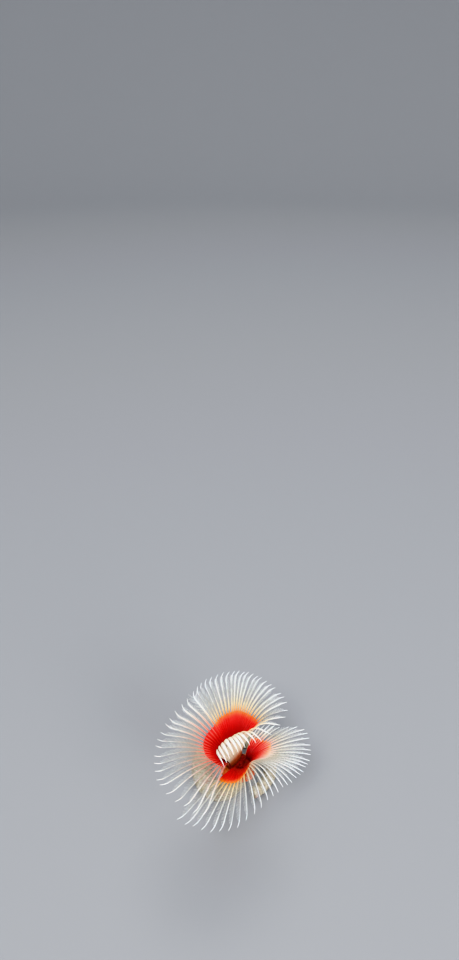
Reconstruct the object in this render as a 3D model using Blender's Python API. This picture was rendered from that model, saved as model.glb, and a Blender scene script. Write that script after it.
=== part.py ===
"""Spiral fan worm: two feathery crown lobes on a worm that lives in a chalky tube.

The frame is in metres with +Z up. The tube lies on the plane z = 0 in one loose loop,
rises to its mouth and carries the open crown. The origin is the middle of the animal's
footprint. Sizes below are in millimetres and degrees, and the crown is laid out in a frame
of its own: its centre is the middle of the crown's foot, azimuths turn from +X to +Y, and a
tilt is the angle away from straight up.

Each lobe is a row of radioles (the feather shafts) that starts on the back of the worm, runs
round its own side to the belly and folds back along the midline. A turn is a place in that
row: 180 is the back, 90 the side, 0 the belly and -90 the fold along the midline. A web joins
the radioles for the first part of their length.
"""

import math

import bmesh
import bpy
from mathutils import Matrix, Vector

MM = 0.001

# Crown (a pitch is the turn between neighbouring radioles, and a row is a share of the web or
# of the free shaft)
BELLY_AZIMUTH = 50.0
CROWN_HEIGHT = 28.0
FOOT_LENGTH = 3.9
LEFT_FOOT_OFFSET = 2.25
RIGHT_FOOT_OFFSET = 2.0
RADIOLE_WIDTH = 0.64
RADIOLE_TIP = 0.52
WEB_SHARE_OF_PITCH = 0.45
FOOT_THINNING = 0.78
FOOT_REACH = 4.3
FAN_GAP = 0.36
CUT = 0.32
WEB_ROWS = (0.0, 0.3, 0.62, 1.0)
FREE_ROWS = (0.2, 0.42, 0.64, 0.82, 0.92, 1.0)
BEND_STOPS = (0.0, 0.22, 0.45, 0.86, 1.0)
PATH_STEPS = 50

LEFT_TURNS = (198.0, -140.0)
LEFT_PITCH = ((-150, 10.5), (-20, 10.5), (0, 4.8), (60, 4.0), (95, 6.2), (150, 6.4), (190, 5.5))
LEFT_FANS = 6
RIGHT_TURNS = (172.0, -45.0)
RIGHT_PITCH = ((-50, 12.0), (0, 8.0), (20, 5.2), (186, 5.8))
RIGHT_FANS = 4

# Middle of the crown
FOOT_SEMI_BELLY = 4.9
FOOT_SEMI_SIDE = 5.4
FOOT_SIDES = 16
FOOT_LEVELS = ((1.0, 0.0, -0.3), (1.0, 0.0, -1.2), (0.0, 3.3, -2.1), (0.0, 3.2, -3.75))
COLLAR_PROFILE = ((3.9, -2.9), (5.5, -2.7), (6.8, -3.1), (7.3, -3.8), (7.75, -3.4), (7.1, -2.6),
                  (5.6, -2.15), (3.9, -2.35))
COLLAR_SIDES = 24
COLLAR_WAVE = 0.05
MOUTH_PLACE = (-0.7, -1.6)
MOUTH_PROFILE = ((0.55, 0.0), (1.25, 0.0), (1.3, 0.5), (1.0, 0.9), (0.65, 0.7))
MOUTH_SIDES = 10
PALPS = (("palp_left", (1.3, -1.7), 320.0), ("palp_right", (-2.7, -1.8), 290.0))
PALP_LENGTH = 4.5
PALP_TILTS = (0.0, 5.0, 15.0, 35.0, 50.0)
PALP_RADIUS = 0.42
PALP_TIP_RADIUS = 0.27
PALP_SIDES = 6
PALP_ROWS = 4

# Tube and body (a place is a distance down the tube's middle line from its mouth, and a fall
# is the line's angle away from straight down)
TUBE_MOUTH_DROP = 3.6
TUBE_LENGTH = 100.0
TUBE_RADIUS = ((0, 5.1), (3, 4.75), (28, 4.5), (64, 3.7), (100, 2.5))
TUBE_WALL = ((0, 0.9), (28, 1.15), (100, 0.85))
TUBE_FALL = ((0, 4), (5, 17), (9, 17), (27, 90))
TUBE_LANDED = 27.0
LOOP_RADIUS = ((27, 16.0), (100, 14.0))
TUBE_START_AZIMUTH = 164.0
TUBE_SIDES = 12
TUBE_STEP = 4.4
TUBE_NAMES = ("tube_mouth", "tube_bend", "tube_loop_front", "tube_loop_back", "tube_tail")
TUBE_CUTS = (0.0, 14.0, 29.0, 51.0, 76.0, 100.0)
BED = 0.9
BODY_SIDES = 8
BODY_STEP = 4.8
BODY_NAMES = ("thorax", "abdomen_front", "abdomen_middle", "abdomen_rear", "pygidium")
BODY_CUTS = (0.7, 10.0, 28.0, 50.0, 74.0, 79.0)
BODY_GAP = 0.5
PYGIDIUM_TIP = 0.35

# Colours
WEB_RED = (0.62, 0.02, 0.02)
DARK_RED = (0.2, 0.01, 0.01)
CREAM = (0.72, 0.62, 0.5)
CHALK = (0.66, 0.63, 0.56)
BODY_ORANGE = (0.6, 0.22, 0.1)


# Plain functions

def along(place, stops):
    """The value at a place between the nearest two of (place, value) stops."""
    if place <= stops[0][0]:
        return stops[0][1]
    for (low, first), (high, second) in zip(stops, stops[1:]):
        if place <= high:
            return first + (second - first) * (place - low) / (high - low)
    return stops[-1][1]


def ease(share):
    share = min(max(share, 0.0), 1.0)
    return share * share * (3.0 - 2.0 * share)


def blend(first, second, share):
    return first * (1.0 - share) + second * share


def swell(angle, centre, width):
    """A smooth bump of height 1 at an angle."""
    away = (angle - centre + 180.0) % 360.0 - 180.0
    return math.exp(-(away / width) ** 2)


def sine(degrees):
    return math.sin(math.radians(degrees))


def cosine(degrees):
    return math.cos(math.radians(degrees))


def polar(azimuth, tilt):
    return Vector((cosine(azimuth) * sine(tilt), sine(azimuth) * sine(tilt), cosine(tilt)))


BELLY = polar(BELLY_AZIMUTH, 90.0)
LEFT = polar(BELLY_AZIMUTH + 90.0, 90.0)
UP = Vector((0.0, 0.0, 1.0))


def closed(mesh):
    """Turns a closed mesh's faces outwards and splits them into triangles."""
    bmesh.ops.recalc_face_normals(mesh, faces=mesh.faces)
    bmesh.ops.triangulate(mesh, faces=mesh.faces)
    return mesh


# Radioles

def grow(foot, headings, length):
    """Points along a shaft that leaves its foot and bends through five headings."""
    directions = []
    for step in range(PATH_STEPS + 1):
        share = step / PATH_STEPS
        leg = 0
        while leg < 3 and share > BEND_STOPS[leg + 1]:
            leg += 1
        start, stop = BEND_STOPS[leg], BEND_STOPS[leg + 1]
        weight = ease((share - start) / (stop - start))
        directions.append(blend(headings[leg], headings[leg + 1], weight).normalized())
    points = [foot.copy()]
    for before, after in zip(directions, directions[1:]):
        points.append(points[-1] + (before + after) * (0.5 * length / PATH_STEPS))
    return points


def left_radiole(turn, foot_turn, index):
    """Shaft points, web length and whole length of one radiole of the left lobe."""
    side = max(sine(foot_turn), 0.0)
    inner = max(-sine(foot_turn), 0.0)
    offset = LEFT_FOOT_OFFSET + 2.4 * side ** 0.7 - 1.6 * inner ** 0.5
    foot = BELLY * FOOT_LENGTH * cosine(foot_turn) + LEFT * offset

    azimuth = along(turn, ((-150, -62), (-90, -60), (-45, -45), (-25, -8), (0, 24), (70, 119),
                           (170, 221), (198, 254)))
    web_azimuth = azimuth
    if turn <= -90:
        web_azimuth = along(turn, ((-150, 216), (-120, 186), (-90, 140)))
    elif turn < 50:
        web_azimuth = along(turn, ((-90, 30), (-15, 49), (0, 58), (50, 94)))
    far = max(sine(azimuth), 0.0)
    near = max(-sine(azimuth), 0.0)
    sway = 3.0 * math.sin(2.3 * index) + 2.0 * math.sin(0.9 * index + 1.0)
    fold = swell(azimuth, 140.0, 14.0)
    inward = ease(min(-turn - 12.0, 168.0 + turn) / 66.0)
    upright = 1.0 - 0.5 * ease(-turn / 36.0)

    foot_tilt = (14.0 + 6.0 * max(sine(turn), 0.0)) * upright
    web_tilt = (52.0 - 14.0 * far + 4.0 * near - 9.0 * fold) * upright
    rim_tilt = (66.0 - 18.0 * far + 10.0 * near - 5.0 * fold) * upright
    shaft_tilt = blend(88.0 - 28.0 * far + 7.0 * near + sway, 98.0, inward)
    tip_tilt = blend(72.0 - 24.0 * far + sway, 150.0, inward)
    hook = (-50.0 * far - 18.0) * (1.0 - inward)
    rim_azimuth = web_azimuth if turn <= -90 else 0.5 * (web_azimuth + azimuth)
    headings = [polar(web_azimuth, foot_tilt), polar(web_azimuth, web_tilt),
                polar(rim_azimuth, rim_tilt), polar(azimuth - 1.0, shaft_tilt),
                polar(azimuth + hook, tip_tilt)]
    for place, (lean, end_lean) in enumerate(((14.0, 16.0), (36.0, 40.0), (-5.0, 30.0))):
        ahead = 0.8 * cosine(turn) * sine(max(-lean, 20.0))
        wall = (BELLY * ahead + LEFT * sine(lean) + UP * cosine(lean)).normalized()
        headings[place] = blend(headings[place], wall, inward).normalized()
        if turn < -90:  # the last few lean back out over the lobe's own floor
            headings[place] = polar(web_azimuth, blend(lean, end_lean, (-90.0 - turn) / 60.0))

    web = along(turn, ((-150, 9.5), (-90, 9.5), (-45, 10.5), (-15, 14), (0, 16), (40, 17.2), (60, 16.5),
                       (90, 14.5), (140, 13), (190, 11.5)))
    free = along(turn, ((-150, 14), (-90, 12), (-45, 10), (-15, 12), (0, 14.5), (40, 16),
                        (75, 16.5), (100, 15), (120, 16.5), (150, 20.5), (172, 24.5), (198, 24)))
    return grow(foot, headings, web + free), web, web + free


def right_radiole(turn, foot_turn, index):
    """The same for the right lobe, which is the smaller one and opens wider."""
    side = max(sine(foot_turn), 0.0)
    inner = max(-sine(foot_turn), 0.0)
    offset = RIGHT_FOOT_OFFSET + 2.6 * side ** 0.7 - 1.2 * inner ** 0.5
    foot = BELLY * FOOT_LENGTH * cosine(foot_turn) - LEFT * offset

    azimuth = BELLY_AZIMUTH - 10.0 - turn + 0.5 * min(turn, 0.0)
    steep = swell(turn, 95.0, 34.0)
    flat = ease((turn - 112.0) / 35.0)
    belly = swell(turn, 0.0, 50.0)
    sway = 3.0 * math.sin(2.1 * index) + 2.0 * math.sin(0.8 * index + 2.0)
    upright = 1.0 - 0.5 * ease(-turn / 42.0)
    headings = [polar(azimuth, (16.0 - 12.0 * flat) * upright),
                polar(azimuth, (63.0 - 34.0 * steep + 18.0 * flat) * upright),
                polar(azimuth, (82.0 - 24.0 * steep - 8.0 * belly + 10.0 * flat) * upright),
                polar(azimuth - 1.0, 99.0 + sway - 14.0 * belly),
                polar(azimuth - 18.0, 84.0 + sway - 10.0 * belly)]
    web = along(turn, ((-50, 8), (0, 10), (20, 12), (60, 10), (100, 9.5), (140, 13), (172, 14.5)))
    free = along(turn, ((-50, 5), (0, 9), (20, 15), (60, 16.5), (100, 20.5), (130, 20), (172, 21)))
    return grow(foot, headings, web + free), web, web + free


def turns_of(ends, pitch):
    turns = [ends[0]]
    while turns[-1] - along(turns[-1], pitch) >= ends[1]:
        turns.append(turns[-1] - along(turns[-1], pitch))
    return turns


def lobe_rows(shaft, ends, pitch, fans):
    """Splits a lobe's turns into fans, and samples each radiole at the rows of its mesh."""
    turns = turns_of(ends, pitch)
    rows = []
    fan_of = [min(int(index * fans / len(turns)), fans - 1) for index in range(len(turns))]
    for index, turn in enumerate(turns):
        members = [turns[k] for k in range(len(turns)) if fan_of[k] == fan_of[index]]
        middle = 0.5 * (members[0] + members[-1])
        span = members[0] - members[-1]
        foot_arc = math.radians(span) * FOOT_REACH
        foot_turn = middle + (turn - middle) * (1.0 - FAN_GAP / foot_arc)
        points, web, length = shaft(turn, foot_turn, index)
        shares = [row * web / length for row in WEB_ROWS]
        shares += [(web + row * (length - web)) / length for row in FREE_ROWS]
        rows.append([point_at(points, share) for share in shares])
    return rows, fan_of


def point_at(points, share):
    place = share * (len(points) - 1)
    index = min(int(place), len(points) - 2)
    return points[index].lerp(points[index + 1], place - index)


def corners(rows, index, side, first, last):
    """Four corners of a radiole at every row: both edges, on the inner and the outer face.

    first and last say that the fan is cut there, where the web reaches to the cut."""
    web_end = len(WEB_ROWS) - 1
    line = rows[index]
    count = len(rows)
    left = rows[(index - 1) % count]
    right = rows[(index + 1) % count]
    if index == 0:
        left = [2.0 * here - there for here, there in zip(line, right)]
    if index == count - 1:
        right = [2.0 * here - there for here, there in zip(line, left)]
    result = []
    across = None
    for row, point in enumerate(line):
        ahead = line[min(row + 1, len(line) - 1)] - line[max(row - 1, 0)]
        ahead.normalize()
        if row <= web_end:
            across = (right[row] - left[row]).normalized()
        across = (across - ahead * across.dot(ahead)).normalized()
        inward = across.cross(ahead) * side
        if row == 0:
            inward = Vector((inward.x, inward.y, 0.0)).normalized()
        before = (point - left[row]).length
        after = (right[row] - point).length
        taper = row / (len(line) - 1)
        full = RADIOLE_WIDTH + (RADIOLE_TIP - RADIOLE_WIDTH) * taper
        half = 0.5 * full
        low = min(half, WEB_SHARE_OF_PITCH * 0.5 * before) if row <= web_end else half
        high = min(half, WEB_SHARE_OF_PITCH * 0.5 * after) if row <= web_end else half
        if row <= web_end and first:
            low = max(low, 0.5 * before - 0.5 * CUT)
        if row <= web_end and last:
            high = max(high, 0.5 * after - 0.5 * CUT)
        half_deep = 0.5 * full * blend(FOOT_THINNING, 1.0, ease(row / web_end))
        low_edge = point - across * low
        high_edge = point + across * high
        deep = inward * half_deep
        result.append((low_edge + deep, high_edge + deep, high_edge - deep, low_edge - deep))
    return result


def fan_mesh(rows, side, start, stop):
    """One closed mesh of the radioles from start up to stop and the web between them."""
    mesh = bmesh.new()
    web_end = len(WEB_ROWS) - 1
    columns = []
    for index in range(start, stop):
        four = corners(rows, index, side, index == start, index == stop - 1)
        columns.append([[mesh.verts.new(corner) for corner in ring] for ring in four])
    for place, column in enumerate(columns):
        following = columns[place + 1] if place + 1 < len(columns) else None
        for row, (ring, above) in enumerate(zip(column, column[1:])):
            mesh.faces.new((ring[0], ring[1], above[1], above[0]))
            mesh.faces.new((ring[2], ring[3], above[3], above[2]))
            on_web = row < web_end
            if not on_web or place == 0:
                mesh.faces.new((ring[3], ring[0], above[0], above[3]))
            if not on_web or following is None:
                mesh.faces.new((ring[1], ring[2], above[2], above[1]))
            if on_web and following is not None:
                nearby, higher = following[row], following[row + 1]
                mesh.faces.new((ring[1], nearby[0], higher[0], above[1]))
                mesh.faces.new((nearby[3], ring[2], above[2], higher[3]))
        mesh.faces.new((column[0][3], column[0][2], column[0][1], column[0][0]))
        mesh.faces.new(column[-1])
        if following is not None:
            mesh.faces.new((column[0][2], following[0][3], following[0][0], column[0][1]))
            rim, next_rim = column[web_end], following[web_end]
            mesh.faces.new((rim[1], next_rim[0], next_rim[3], rim[2]))
    bmesh.ops.translate(mesh, verts=mesh.verts, vec=(0.0, 0.0, CROWN_HEIGHT))
    return closed(mesh)


# Tube and body

def tube_line():
    """Points down the middle of the tube, from its mouth to the tail, one per millimetre."""
    point = Vector((0.0, 0.0, CROWN_HEIGHT - TUBE_MOUTH_DROP))
    azimuth = TUBE_START_AZIMUTH
    line = [point.copy()]
    for step in range(int(TUBE_LENGTH)):
        place = step + 0.5
        fall = along(place, TUBE_FALL)
        point = point + Vector((cosine(azimuth) * sine(fall), sine(azimuth) * sine(fall), -cosine(fall)))
        line.append(point.copy())
        azimuth -= math.degrees(1.0 / along(place, LOOP_RADIUS)) * sine(fall) ** 2
    return settled(line)


def settled(line):
    """Lays the fallen part of a line on its bed, the tube's own radius above the ground."""
    lowest = line[-1].z
    for place, spot in enumerate(line):
        bed = BED * along(place, TUBE_RADIUS)
        share = ease((place - 0.3 * TUBE_LANDED) / (0.7 * TUBE_LANDED))
        spot.z = spot.z + (bed - lowest) * share
    return line


def line_point(line, place):
    index = min(int(place), len(line) - 2)
    return line[index].lerp(line[index + 1], place - index)


def ring_around(line, place, radius, sides, grounded):
    """Points round the line at a place, and flattened on the ground where it lies there."""
    centre = line_point(line, place)
    low = max(place - 0.5, 0.0)
    high = min(place + 0.5, len(line) - 1.0)
    ahead = (line_point(line, high) - line_point(line, low)).normalized()
    across = ahead.cross(UP)
    if across.length < 0.05:
        across = Vector((1.0, 0.0, 0.0))
    across.normalize()
    lift = across.cross(ahead).normalized()
    ring = []
    for side in range(sides):
        angle = 2.0 * math.pi * (side + 0.5) / sides
        point = centre + across * (radius * math.cos(angle)) + lift * (radius * math.sin(angle))
        if grounded:
            point.z = max(point.z, 0.0)
        ring.append(point)
    return ring


def join_rings(mesh, first, second):
    count = len(first)
    for side in range(count):
        following = (side + 1) % count
        mesh.faces.new((first[side], first[following], second[following], second[side]))


def places_between(start, stop, spacing):
    count = max(int(round((stop - start) / spacing)), 1)
    return [start + (stop - start) * step / count for step in range(count + 1)]


def pipe_mesh(line, start, stop):
    """A length of the tube, open at both ends."""
    mesh = bmesh.new()
    outer = []
    inner = []
    for place in places_between(start, stop, TUBE_STEP):
        radius = along(place, TUBE_RADIUS)
        bore = radius - along(place, TUBE_WALL)
        outside = ring_around(line, place, radius, TUBE_SIDES, True)
        inside = ring_around(line, place, bore, TUBE_SIDES, False)
        outer.append([mesh.verts.new(point) for point in outside])
        inner.append([mesh.verts.new(point) for point in inside])
    for first, second in zip(outer, outer[1:]):
        join_rings(mesh, first, second)
    for first, second in zip(inner, inner[1:]):
        join_rings(mesh, second, first)
    join_rings(mesh, inner[0], outer[0])
    join_rings(mesh, outer[-1], inner[-1])
    return closed(mesh)


def body_radius(place):
    return along(place, TUBE_RADIUS) - along(place, TUBE_WALL) - BODY_GAP


def rod_mesh(line, start, stop, end_share=1.0):
    """A length of the worm inside the tube, drawn in at its end by end_share."""
    mesh = bmesh.new()
    rings = []
    for place in places_between(start, stop, BODY_STEP):
        share = (place - start) / (stop - start)
        radius = body_radius(place) * (1.0 - (1.0 - end_share) * ease(share))
        ring = ring_around(line, place, radius, BODY_SIDES, False)
        rings.append([mesh.verts.new(point) for point in ring])
    for first, second in zip(rings, rings[1:]):
        join_rings(mesh, first, second)
    mesh.faces.new(rings[0])
    mesh.faces.new(rings[-1])
    return closed(mesh)


# Crown foot, collar, mouth and palps

def foot_outline(angle):
    """Reach of the crown's foot at an angle from the belly: an ellipse round both lobes."""
    return 1.0 / math.hypot(cosine(angle) / FOOT_SEMI_BELLY, sine(angle) / FOOT_SEMI_SIDE)


def collar_outline(angle):
    """Four soft lobes round the collar's edge."""
    return 1.0 + COLLAR_WAVE * cosine(4.0 * angle)


def station(reach, angle, height):
    spot = BELLY * (reach * cosine(angle)) + LEFT * (reach * sine(angle))
    return Vector((spot.x, spot.y, CROWN_HEIGHT + height))


def crown_foot_mesh():
    mesh = bmesh.new()
    rings = []
    for share, neck, height in FOOT_LEVELS:
        ring = []
        for side in range(FOOT_SIDES):
            angle = 360.0 * side / FOOT_SIDES
            reach = blend(neck, foot_outline(angle), share)
            ring.append(mesh.verts.new(station(reach, angle, height)))
        rings.append(ring)
    for first, second in zip(rings, rings[1:]):
        join_rings(mesh, first, second)
    mesh.faces.new(rings[0])
    mesh.faces.new(rings[-1])
    return closed(mesh)


def turned_ring_mesh(profile, sides, outline, centre):
    """Turns a closed profile of (reach, height) round an upright axis, with no hole left in it."""
    mesh = bmesh.new()
    stations = []
    for side in range(sides):
        angle = 360.0 * side / sides
        spots = [station(reach * outline(angle), angle, height) for reach, height in profile]
        stations.append([mesh.verts.new(spot + centre) for spot in spots])
    for side in range(sides):
        join_rings(mesh, stations[side], stations[(side + 1) % sides])
    return closed(mesh)


def palp_mesh(foot, lean_azimuth):
    """A short feeler beside the mouth, bending over as it rises."""
    headings = [polar(lean_azimuth, tilt) for tilt in PALP_TILTS]
    points = grow(foot, headings, PALP_LENGTH)
    mesh = bmesh.new()
    rings = []
    for row in range(PALP_ROWS + 1):
        share = row / PALP_ROWS
        centre = point_at(points, share) + UP * CROWN_HEIGHT
        radius = blend(PALP_RADIUS, PALP_TIP_RADIUS, share)
        level = [polar(360.0 * side / PALP_SIDES, 90.0) * radius for side in range(PALP_SIDES)]
        rings.append([mesh.verts.new(centre + offset) for offset in level])
    for first, second in zip(rings, rings[1:]):
        join_rings(mesh, first, second)
    mesh.faces.new(rings[0])
    mesh.faces.new(rings[-1])
    return closed(mesh)


# Objects

def material(name, colour, roughness):
    """A plain Principled finish; colour is linear red, green, blue."""
    finish = bpy.data.materials.new(name)
    finish.use_nodes = True
    shader = finish.node_tree.nodes["Principled BSDF"]
    shader.inputs["Base Color"].default_value = (*colour, 1.0)
    shader.inputs["Roughness"].default_value = roughness
    shader.inputs["Metallic"].default_value = 0.0
    finish.diffuse_color = (*colour, 1.0)
    return finish


def add_object(name, mesh, colour, roughness):
    bmesh.ops.scale(mesh, verts=mesh.verts, vec=(MM, MM, MM))
    data = bpy.data.meshes.new(name)
    mesh.to_mesh(data)
    mesh.free()
    data.materials.append(material(name + "_finish", colour, roughness))
    data.shade_smooth()
    data.set_sharp_from_angle(angle=math.radians(50.0))
    item = bpy.data.objects.new(name, data)
    bpy.context.scene.collection.objects.link(item)
    return item


def add_lobe(name, shaft, ends, pitch, fans, side):
    rows, fan_of = lobe_rows(shaft, ends, pitch, fans)
    for fan in range(fans):
        start = fan_of.index(fan)
        stop = start + fan_of.count(fan)
        add_object("%s_%d" % (name, fan + 1), fan_mesh(rows, side, start, stop), WEB_RED, 0.4)


def add_tube_and_body():
    line = tube_line()
    for name, start, stop in zip(TUBE_NAMES, TUBE_CUTS, TUBE_CUTS[1:]):
        head = 0.0 if start == 0.0 else 0.5 * CUT
        tail = 0.0 if stop == TUBE_LENGTH else 0.5 * CUT
        add_object(name, pipe_mesh(line, start + head, stop - tail), CHALK, 0.8)
    for name, start, stop in zip(BODY_NAMES, BODY_CUTS, BODY_CUTS[1:]):
        end_share = PYGIDIUM_TIP if name == BODY_NAMES[-1] else 1.0
        rod = rod_mesh(line, start + 0.5 * CUT, stop - 0.5 * CUT, end_share)
        add_object(name, rod, BODY_ORANGE, 0.5)


def add_crown_middle():
    add_object("crown_foot", crown_foot_mesh(), BODY_ORANGE, 0.5)
    collar = turned_ring_mesh(COLLAR_PROFILE, COLLAR_SIDES, collar_outline, Vector((0.0, 0.0, 0.0)))
    add_object("collar", collar, CREAM, 0.5)
    mouth_place = BELLY * MOUTH_PLACE[0] + LEFT * MOUTH_PLACE[1]
    lips = turned_ring_mesh(MOUTH_PROFILE, MOUTH_SIDES, lambda angle: 1.0, mouth_place)
    add_object("mouth", lips, DARK_RED, 0.4)
    for name, (ahead, aside), azimuth in PALPS:
        add_object(name, palp_mesh(BELLY * ahead + LEFT * aside, azimuth), CREAM, 0.5)


def centre_footprint():
    """Moves everything so that the box round the animal is centred on the origin."""
    spots = [corner.co for item in bpy.data.objects for corner in item.data.vertices]
    middle = [0.5 * (min(s[axis] for s in spots) + max(s[axis] for s in spots)) for axis in range(2)]
    shift = Matrix.Translation((-middle[0], -middle[1], 0.0))
    for item in bpy.data.objects:
        item.data.transform(shift)


def main():
    for item in list(bpy.data.objects):
        bpy.data.objects.remove(item, do_unlink=True)
    add_lobe("left_lobe", left_radiole, LEFT_TURNS, LEFT_PITCH, LEFT_FANS, 1.0)
    add_lobe("right_lobe", right_radiole, RIGHT_TURNS, RIGHT_PITCH, RIGHT_FANS, -1.0)
    add_crown_middle()
    add_tube_and_body()
    centre_footprint()


main()
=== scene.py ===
"""Looks of the spiral fan worm: a skin over its flesh, fine side branches on its feathers, and a
tube of chalk.

Lengths in the layout are in millimetres from the crown's centre, with azimuths from +X to +Y
and tilts away from straight up, as in the part's own source; meshes are written in metres.
A radiole is one feather of the crown. A turn is its place in its lobe: 180 is the worm's back,
90 the side, 0 the belly and -90 the fold along the midline. A rise runs up a radiole: 0 is its
foot, 1 the rim of the web and 2 the tip.
"""

import math
from functools import partial

import bmesh
import bpy
import numpy as np
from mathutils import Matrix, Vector, noise


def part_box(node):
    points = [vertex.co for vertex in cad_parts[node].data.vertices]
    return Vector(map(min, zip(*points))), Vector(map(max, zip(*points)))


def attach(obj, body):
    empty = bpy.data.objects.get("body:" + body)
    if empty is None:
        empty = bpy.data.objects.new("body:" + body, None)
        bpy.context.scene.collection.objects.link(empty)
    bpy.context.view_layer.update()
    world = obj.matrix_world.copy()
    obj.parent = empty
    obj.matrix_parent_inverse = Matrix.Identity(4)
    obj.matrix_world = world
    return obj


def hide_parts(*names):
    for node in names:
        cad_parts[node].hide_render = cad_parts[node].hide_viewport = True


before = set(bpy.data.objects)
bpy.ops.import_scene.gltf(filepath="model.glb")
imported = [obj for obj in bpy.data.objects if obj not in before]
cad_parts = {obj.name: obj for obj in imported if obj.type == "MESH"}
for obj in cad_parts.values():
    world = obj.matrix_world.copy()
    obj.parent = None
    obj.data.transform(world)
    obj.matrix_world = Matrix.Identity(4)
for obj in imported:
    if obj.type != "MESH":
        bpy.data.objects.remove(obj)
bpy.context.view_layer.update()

MM = 0.001
RNG = np.random.default_rng(7)

# Layout, as in the solids
BELLY_AZIMUTH = 50.0
FOOT_LENGTH = 3.9
FOOT_REACH = 4.3
FAN_GAP = 0.36
FOOT_TOP_GAP = 0.3
LEFT_FOOT_OFFSET = 2.25
RIGHT_FOOT_OFFSET = 2.0
BEND_STOPS = (0.0, 0.22, 0.45, 0.86, 1.0)
PATH_STEPS = 50
LEFT_TURNS = (198.0, -140.0)
LEFT_PITCH = ((-150, 10.5), (-20, 10.5), (0, 4.8), (60, 4.0), (95, 6.2), (150, 6.4), (190, 5.5))
LEFT_FANS = 6
LEFT_AZIMUTH = ((-150, -62), (-90, -60), (-45, -45), (-25, -8), (0, 24), (70, 119), (170, 221),
                (198, 254))
LEFT_WEB_AZIMUTH = ((-90, 30), (-15, 49), (0, 58), (50, 94))
LEFT_END_AZIMUTH = ((-150, 216), (-120, 186), (-90, 140))
LEFT_WALL_LEANS = ((14.0, 16.0), (36.0, 40.0), (-5.0, 30.0))
LEFT_WEB = ((-150, 9.5), (-90, 9.5), (-45, 10.5), (-15, 14), (0, 16), (40, 17.2), (60, 16.5),
            (90, 14.5), (140, 13), (190, 11.5))
LEFT_FREE = ((-150, 14), (-90, 12), (-45, 10), (-15, 12), (0, 14.5), (40, 16), (75, 16.5),
             (100, 15), (120, 16.5), (150, 20.5), (172, 24.5), (198, 24))
RIGHT_TURNS = (172.0, -45.0)
RIGHT_PITCH = ((-50, 12.0), (0, 8.0), (20, 5.2), (186, 5.8))
RIGHT_FANS = 4
RIGHT_WEB = ((-50, 8), (0, 10), (20, 12), (60, 10), (100, 9.5), (140, 13), (172, 14.5))
RIGHT_FREE = ((-50, 5), (0, 9), (20, 15), (60, 16.5), (100, 20.5), (130, 20), (172, 21))
FOOT_SEMI_BELLY = 4.9
FOOT_SEMI_SIDE = 5.4
MOUTH_PLACE = (-0.7, -1.6)
PALPS = (((1.3, -1.7), 320.0), ((-2.7, -1.8), 290.0))
PALP_TILTS = (0.0, 5.0, 15.0, 35.0, 50.0)
TUBE_MOUTH_DROP = 3.6
TUBE_LENGTH = 100.0
TUBE_RADIUS = ((0, 5.1), (3, 4.75), (28, 4.5), (64, 3.7), (100, 2.5))
TUBE_WALL = ((0, 0.9), (28, 1.15), (100, 0.85))
TUBE_FALL = ((0, 4), (5, 17), (9, 17), (27, 90))
TUBE_LANDED = 27.0
LOOP_RADIUS = ((27, 16.0), (100, 14.0))
TUBE_START_AZIMUTH = 164.0
BED = 0.9

# Skin
SPINE_ROWS = 81
WEB_ROWS = 14
FREE_ROWS = 20
RING_SIDES = 8
WEB_STEPS = 3
NEXT_INSIDE, LAST_INSIDE, LAST_OUTSIDE, NEXT_OUTSIDE = 0, 3, 4, 7  # a ring's points at the webs
SHAFT_RADIUS = ((0, 0.2), (0.5, 0.23), (0.95, 0.28), (1.15, 0.27), (1.5, 0.23), (1.8, 0.18),
                (1.93, 0.12), (2, 0.06))
SHAFT_SHARE = 0.42  # most of the gap to the next radiole that a shaft's radius takes
WEB_THICKNESS = 0.14
WEB_SAG = 0.1
RIM_SCALLOP = 0.045
FOOT_SINK = 0.7
# The free shafts of the left lobe's inner whorl are flat ribbons, by their rise and their turn
RIBBON = ((0.0, 0.0), (0.75, 0.0), (0.95, 1.0), (1.35, 1.0), (1.7, 0.45), (1.9, 0.0))
RIBBON_SHARE = 0.47  # half a ribbon's width, as a share of the gap to the next one
RIBBON_LIMIT = 0.85
RIBBON_TURNS = (8.0, 30.0)  # turns past the belly where ribbons begin, and over which they widen
# How pink the shafts are inside the web, and where the red ends (1: at the rim, more: below, less:
# above, with a darker web)
PINK_TURNS = {"left": ((-20, 0.2), (20, 0.3), (84, 0.35), (96, 1.0)),
              "right": ((-45, 1.0), (60, 1.0), (100, 0.8), (130, 0.4))}
# On the left lobe from turn 84 on, the values below 1 darken the red web as painted shade; the
# orange rim that they take away there is the lobe's own colour.
RED_END_AND_SHADE_TURNS = {"left": ((-16, 0.87), (0, 1.0), (84, 1.0), (98, 0.82)),
               "right": ((10, 1.05), (50, 1.35), (80, 1.25), (115, 1.0))}

# Map of the skin: a column for each radiole, over a band for the rest of the flesh
MAP_STEPS = RING_SIDES + 2 * (WEB_STEPS + 1)
MAP_STEP = 0.94  # the last steps of a column stay clear of the next column
BAND = 0.1
TIP_BAND = 0.996
LIP = 0.004  # height on the map of the small faces that close a web or a shaft
CAP = 0.002  # and of those that close a loft
FOOT_AREA = (0.0, 0.0, 0.15, 0.09)
COLLAR_AREA = (0.16, 0.0, 0.2, 0.09)
LIPS_AREA = (0.37, 0.0, 0.05, 0.09)
PALP_AREAS = ((0.43, 0.0, 0.035, 0.09), (0.47, 0.0, 0.035, 0.09))
BODY_AREA = (0.52, 0.0, 0.47, 0.09)
TUBE_AREA = (0.0, 0.0, 1.0, 1.0)

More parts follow.
